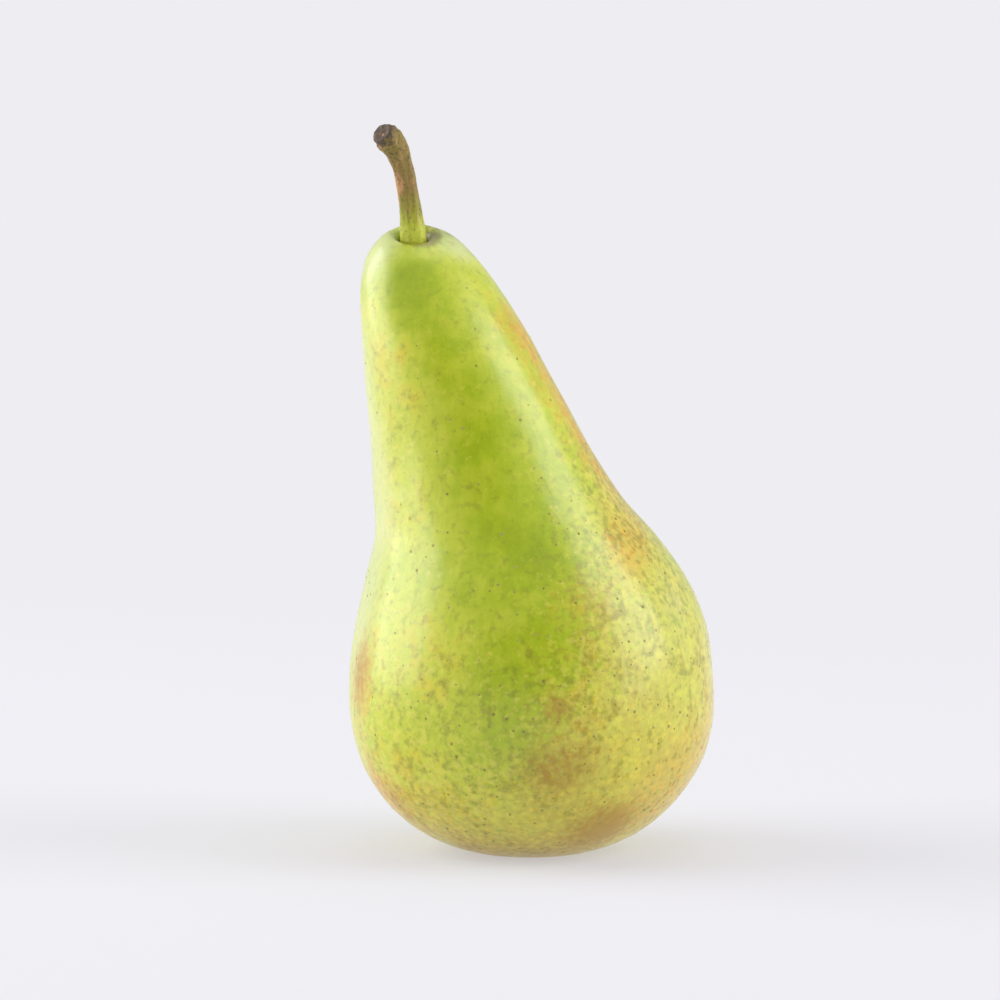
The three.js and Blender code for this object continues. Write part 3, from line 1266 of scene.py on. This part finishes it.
@dataclass
class Calyx:
    """What is left of the flower, dried, in the basin under the fruit."""

    sepals: int = 5
    sepal_width: float = 4.4 * MM
    sepal_thickness: float = 0.5 * MM
    sepal_wave: float = 0.22 * MM
    sepal_wrinkles: float = 0.07 * MM
    midrib_height: float = 0.12 * MM
    midrib_width: float = 0.3 * MM
    first_turn: float = 0.3
    seed: int = 7
    rings: int = 28
    sides: int = 24

    # Each sepal draws its cup, its twist and where its wave starts from between these.
    least_bend: tuple[float, float, float] = (0.15, -0.25, 0)
    most_bend: tuple[float, float, float] = (0.45, 0.25, 6)

    stamens: int = 38
    stamen_length: float = 2.9 * MM
    filament_radius: float = 0.11 * MM
    head_radius: float = 0.26 * MM
    tuft_radius: float = 1.0 * MM
    tuft_root: float = 6.4 * MM
    stamen_lean: float = 0.34

    # A sepal's midline, as distance from the core line and height above the table, in mm.
    line: Rows = ((2.6, 4.7), (3.5, 4), (4.9, 3.2), (6.2, 2.1), (6.9, 0.7))

    def build_sepals(self, core: np.ndarray) -> list[bpy.types.Object]:
        """Makes the curled sepals.

        Args:
            core: the point of the table under the fruit's core line.

        Returns:
            The finished sepals, in the order of their CAD nodes.
        """
        random = np.random.default_rng(self.seed)
        finish = DryCalyx("dried_sepal", "#3A2A1C", "#8A6A44").build()
        midline = Spline(np.array(self.line) * MM).spaced(self.rings)
        heading = np.gradient(midline, axis=0)
        heading /= np.linalg.norm(heading, axis=1)[:, None]
        share = np.linspace(0, 1, len(midline))
        angle = 2 * np.pi * np.arange(self.sides) / self.sides
        pieces = []
        for number in range(self.sepals):
            turn = 2 * np.pi * number / self.sepals + self.first_turn
            out = np.array([math.cos(turn), math.sin(turn), 0])
            across = np.array([-math.sin(turn), math.cos(turn), 0])
            cup, twist, wave = random.uniform(self.least_bend, self.most_bend)
            rows = []
            for s, (reach, height), (run, climb) in zip(share, midline, heading):
                up = out * -climb + np.array([0, 0, run])
                # It narrows to a point and at its root, and thins towards its tip.
                half = 0.5 * self.sepal_width * (1 - 0.86 * s**1.3) * (1 - 0.35 * (1 - s) ** 6)
                wide = half * np.cos(angle)
                thick = 0.5 * self.sepal_thickness * (1 - 0.4 * s) * np.sin(angle)
                midrib = self.midrib_height * np.exp(-((wide / self.midrib_width) ** 2))
                thick += midrib * np.sign(np.sin(angle))
                bent = cup * half * (wide / half) ** 2 * s + twist * wide * s
                bent += self.sepal_wave * np.sin(wave + 9 * s + 1.5 * np.cos(angle)) * s
                middle = core + out * reach + np.array([0, 0, height])
                rows.append(middle + np.outer(wide, across) + np.outer(thick + bent, up))
            piece = new_tube(f"sepal_{number + 1}_dried", np.array(rows))
            push_out(piece, self.sepal_wrinkles * bumps(vertices_of(piece), 0.9 * MM, 3))
            piece.data.materials.append(finish)
            pieces.append(piece)
        return pieces

    def build_stamens(self, core: np.ndarray) -> bpy.types.Object:
        """Grows the tuft of dried stamens.

        Args:
            core: the point of the table under the fruit's core line.

        Returns:
            The tuft, as one piece.
        """
        scatter = Scatter("dried_stamens")
        tree = scatter.tree
        count = scatter.ask("Stamens", "NodeSocketInt", self.stamens)
        length = scatter.ask("Length", "NodeSocketFloat", self.stamen_length)
        thickness = scatter.ask("Filament radius", "NodeSocketFloat", self.filament_radius)
        head = scatter.ask("Head radius", "NodeSocketFloat", self.head_radius)
        spread = scatter.ask("Tuft radius", "NodeSocketFloat", self.tuft_radius)
        root = scatter.ask("Root", "NodeSocketVector", (core[0], core[1], self.tuft_root))
        finish = scatter.ask(
            "Finish", "NodeSocketMaterial", DryCalyx("dried_stamens", "#2C1F15", "#7B5A36").build()
        )
        down = add_node(tree, "ShaderNodeMath", {"operation": "MULTIPLY"}, {0: length, 1: -1.0})
        tip = add_node(tree, "ShaderNodeCombineXYZ", links={"Z": down.outputs[0]}).outputs["Vector"]
        filament = add_node(tree, "GeometryNodeCurvePrimitiveLine", links={"End": tip})
        profile = add_node(
            tree, "GeometryNodeCurvePrimitiveCircle", links={"Resolution": 6, "Radius": thickness}
        )
        rod = add_node(
            tree,
            "GeometryNodeCurveToMesh",
            links={
                "Curve": filament.outputs["Curve"],
                "Profile Curve": profile.outputs["Curve"],
                "Fill Caps": True,
            },
        )
        anther = add_node(tree, "GeometryNodeMeshUVSphere", links={"Segments": 8, "Rings": 5, "Radius": head})
        hung = add_node(
            tree,
            "GeometryNodeTransform",
            links={"Geometry": anther.outputs["Mesh"], "Translation": tip, "Scale": (1.0, 0.7, 1.3)},
        )
        stamen = add_node(tree, "GeometryNodeJoinGeometry")
        tree.links.new(rod.outputs["Mesh"], stamen.inputs[0])
        tree.links.new(hung.outputs["Geometry"], stamen.inputs[0])

        # The roots wind outwards, each a golden angle on from the one before.
        index = add_node(tree, "GeometryNodeInputIndex").outputs["Index"]
        turn = add_node(tree, "ShaderNodeMath", {"operation": "MULTIPLY"}, {0: index, 1: GOLDEN_ANGLE})
        share = add_node(tree, "ShaderNodeMath", {"operation": "DIVIDE"}, {0: index, 1: count})
        away = add_node(tree, "ShaderNodeMath", {"operation": "SQRT"}, {0: share.outputs[0]})
        radius = add_node(tree, "ShaderNodeMath", {"operation": "MULTIPLY"}, {0: away.outputs[0], 1: spread})
        at_radius = add_node(tree, "ShaderNodeCombineXYZ", links={"X": radius.outputs[0]})
        wound = add_node(
            tree,
            "ShaderNodeVectorRotate",
            {"rotation_type": "Z_AXIS"},
            {"Vector": at_radius.outputs["Vector"], "Angle": turn.outputs[0]},
        )
        spot = add_node(
            tree, "ShaderNodeVectorMath", {"operation": "ADD"}, {0: wound.outputs["Vector"], 1: root}
        )
        points = add_node(
            tree, "GeometryNodePoints", links={"Count": count, "Position": spot.outputs["Vector"]}
        )
        most = Vector((self.stamen_lean, self.stamen_lean, 3.0))
        lean = add_node(
            tree,
            "FunctionNodeRandomValue",
            {"data_type": "FLOAT_VECTOR"},
            {0: -most, 1: most, "Seed": 2},
        )
        size = add_node(
            tree, "FunctionNodeRandomValue", links={RANDOM_LOW: 0.7, RANDOM_HIGH: 1.0, "Seed": 4}
        )
        placed = add_node(
            tree,
            "GeometryNodeInstanceOnPoints",
            links={
                "Points": points.outputs["Points"],
                "Instance": stamen.outputs["Geometry"],
                "Rotation": lean.outputs["Value"],
                "Scale": size.outputs[RANDOM_RESULT],
            },
        )
        scatter.close(placed.outputs["Instances"], finish)
        return scatter.grow(bpy.data.meshes.new("stamen_carrier"))


# ---- the studio ----


@dataclass(frozen=True)
class SoftBox:
    """A large soft light.

    Attributes:
        name: what the light is called.
        turn: degrees round the pear from the camera, towards +X.
        rise: degrees above the table.
        distance: from the pear's middle, in metres.
        width: in metres.
        height: in metres.
        brightness: its radiance, where the room's pale walls have about 1.
    """

    name: str
    turn: float
    rise: float
    distance: float
    width: float
    height: float
    brightness: float

    def build(self, target: Vector) -> None:
        """Makes the light.

        Args:
            target: the point that it faces.
        """
        turn, rise = math.radians(self.turn), math.radians(self.rise)
        away = Vector((math.sin(turn) * math.cos(rise), -math.cos(turn) * math.cos(rise), math.sin(rise)))
        data = bpy.data.lights.new(self.name, "AREA")
        data.shape = "RECTANGLE"
        data.size = self.width
        data.size_y = self.height
        data.energy = self.brightness * math.pi * self.width * self.height
        lamp = bpy.data.objects.new(self.name, data)
        bpy.context.scene.collection.objects.link(lamp)
        lamp.location = target + away * self.distance
        lamp.rotation_euler = away.to_track_quat("Z", "Y").to_euler()
        lamp.visible_camera = False


@dataclass
class Studio:
    """A pale room with a paper floor, soft boxes to the sides and above, and the camera.

    Attributes:
        lens: the camera's focal length, in millimetres.
        sensor: the width of its sensor, in millimetres.
        distance: from the camera to its target, in metres.
        rise: degrees by which the camera looks down.
        target: the point that it looks at.
        floor_size: the width of the floor, in metres.
        room: the colour of the room.
        fill: how strongly the room lights the pear from all round.
        fill_front: how strongly it does so from the front, which keeps the skin's colour deep.
        front: the y of the directions where the room's dim front is full and where it ends.
        boxes: the lights.
    """

    lens: float = 150.0
    sensor: float = 36.0
    distance: float = 0.729
    rise: float = 5.0
    target: Vector = field(default_factory=lambda: Vector((-5.55 * MM, 0.0, 61.4 * MM)))
    floor_size: float = 30.0
    room: str = "#EEEDF2"
    fill: float = 0.66
    fill_front: float = 0.1
    front: tuple[float, float] = (-0.95, -0.7)
    boxes: tuple[SoftBox, ...] = (
        SoftBox("soft_box_left", -97, 18, 1.25, 1.2, 1.6, 3.2),
        SoftBox("soft_box_right", 80, 16, 1.25, 0.8, 1.5, 3.6),
        SoftBox("soft_box_top", 150, 76, 1.3, 0.9, 0.9, 1.0),
    )

    def build(self) -> None:
        """Makes the camera, the lights, the room and the floor."""
        scene = bpy.context.scene
        scene.view_settings.view_transform = "Standard"
        rise = math.radians(self.rise)
        data = bpy.data.cameras.new("camera")
        data.lens = self.lens
        data.sensor_width = self.sensor
        data.clip_end = 2 * self.floor_size
        camera = bpy.data.objects.new("camera", data)
        scene.collection.objects.link(camera)
        away = Vector((0.0, -math.cos(rise), math.sin(rise)))
        camera.location = self.target + away * self.distance
        camera.rotation_euler = away.to_track_quat("Z", "Y").to_euler()
        scene.camera = camera
        for box in self.boxes:
            box.build(self.target)
        self.build_room()
        self.build_floor()

    def build_room(self) -> None:
        """Makes the room: pale to look at, dimmer as a light, and dimmest in front of the pear."""
        world = bpy.data.worlds.new("pale_room")
        bpy.context.scene.world = world
        world.use_nodes = True
        tree = world.node_tree
        tree.nodes.clear()
        seen = add_node(tree, "ShaderNodeLightPath").outputs["Is Camera Ray"]
        heading = add_node(tree, "ShaderNodeTexCoord").outputs["Generated"]
        depth = add_node(tree, "ShaderNodeSeparateXYZ", links={"Vector": heading}).outputs["Y"]
        light = add_node(
            tree,
            "ShaderNodeMapRange",
            {"interpolation_type": "SMOOTHSTEP"},
            {
                "Value": depth,
                "From Min": self.front[0],
                "From Max": self.front[1],
                "To Min": self.fill_front,
                "To Max": self.fill,
            },
        ).outputs["Result"]
        strength = add_node(tree, "ShaderNodeMapRange", links={"Value": seen, "To Min": light})
        glow = add_node(
            tree,
            "ShaderNodeBackground",
            links={"Color": linear(self.room), "Strength": strength.outputs["Result"]},
        )
        add_node(tree, "ShaderNodeOutputWorld", links={"Surface": glow.outputs["Background"]})

    def build_floor(self) -> None:
        """Lays the paper floor, which isn't part of the pear."""
        half = self.floor_size / 2
        corners = [(-half, -half, 0), (half, -half, 0), (half, half, 0), (-half, half, 0)]
        mesh = bpy.data.meshes.new("paper_floor")
        mesh.from_pydata(corners, [], [(0, 1, 2, 3)])
        mesh.materials.append(Paper(self.room).build())
        floor = bpy.data.objects.new("paper_floor", mesh)
        bpy.context.scene.collection.objects.link(floor)


# ---- the pear ----


def hand_over(piece: bpy.types.Object, slot: str, *replaced: str) -> None:
    """Joins a finished piece to the frame and reports it.

    Args:
        piece: the piece.
        slot: not used.
        replaced: the CAD nodes that it stands for.
    """
    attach(piece, BODY)
    if replaced:
        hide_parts(*replaced)
    log.info("%s: %d vertices", piece.name, len(piece.data.vertices))


def main() -> None:
    """Builds the pear and its studio."""
    logging.basicConfig(level=logging.INFO, format="%(name)s %(message)s")
    Studio().build()

    fruit = Fruit()
    skin = fruit.build()
    hand_over(skin, "skin", "fruit")
    hand_over(fruit.build_lenticels(skin), "skin")

    hand_over(Stalk().build(fruit.socket()), "stalk_bark", "stalk")

    calyx = Calyx()
    core = fruit.shift.copy()
    for number, sepal in enumerate(calyx.build_sepals(core), 1):
        hand_over(sepal, "dried_sepal", f"sepal_{number}")
    hand_over(calyx.build_stamens(core), "dried_stamens", "stamen_tuft")


if __name__ == "__main__":
    main()
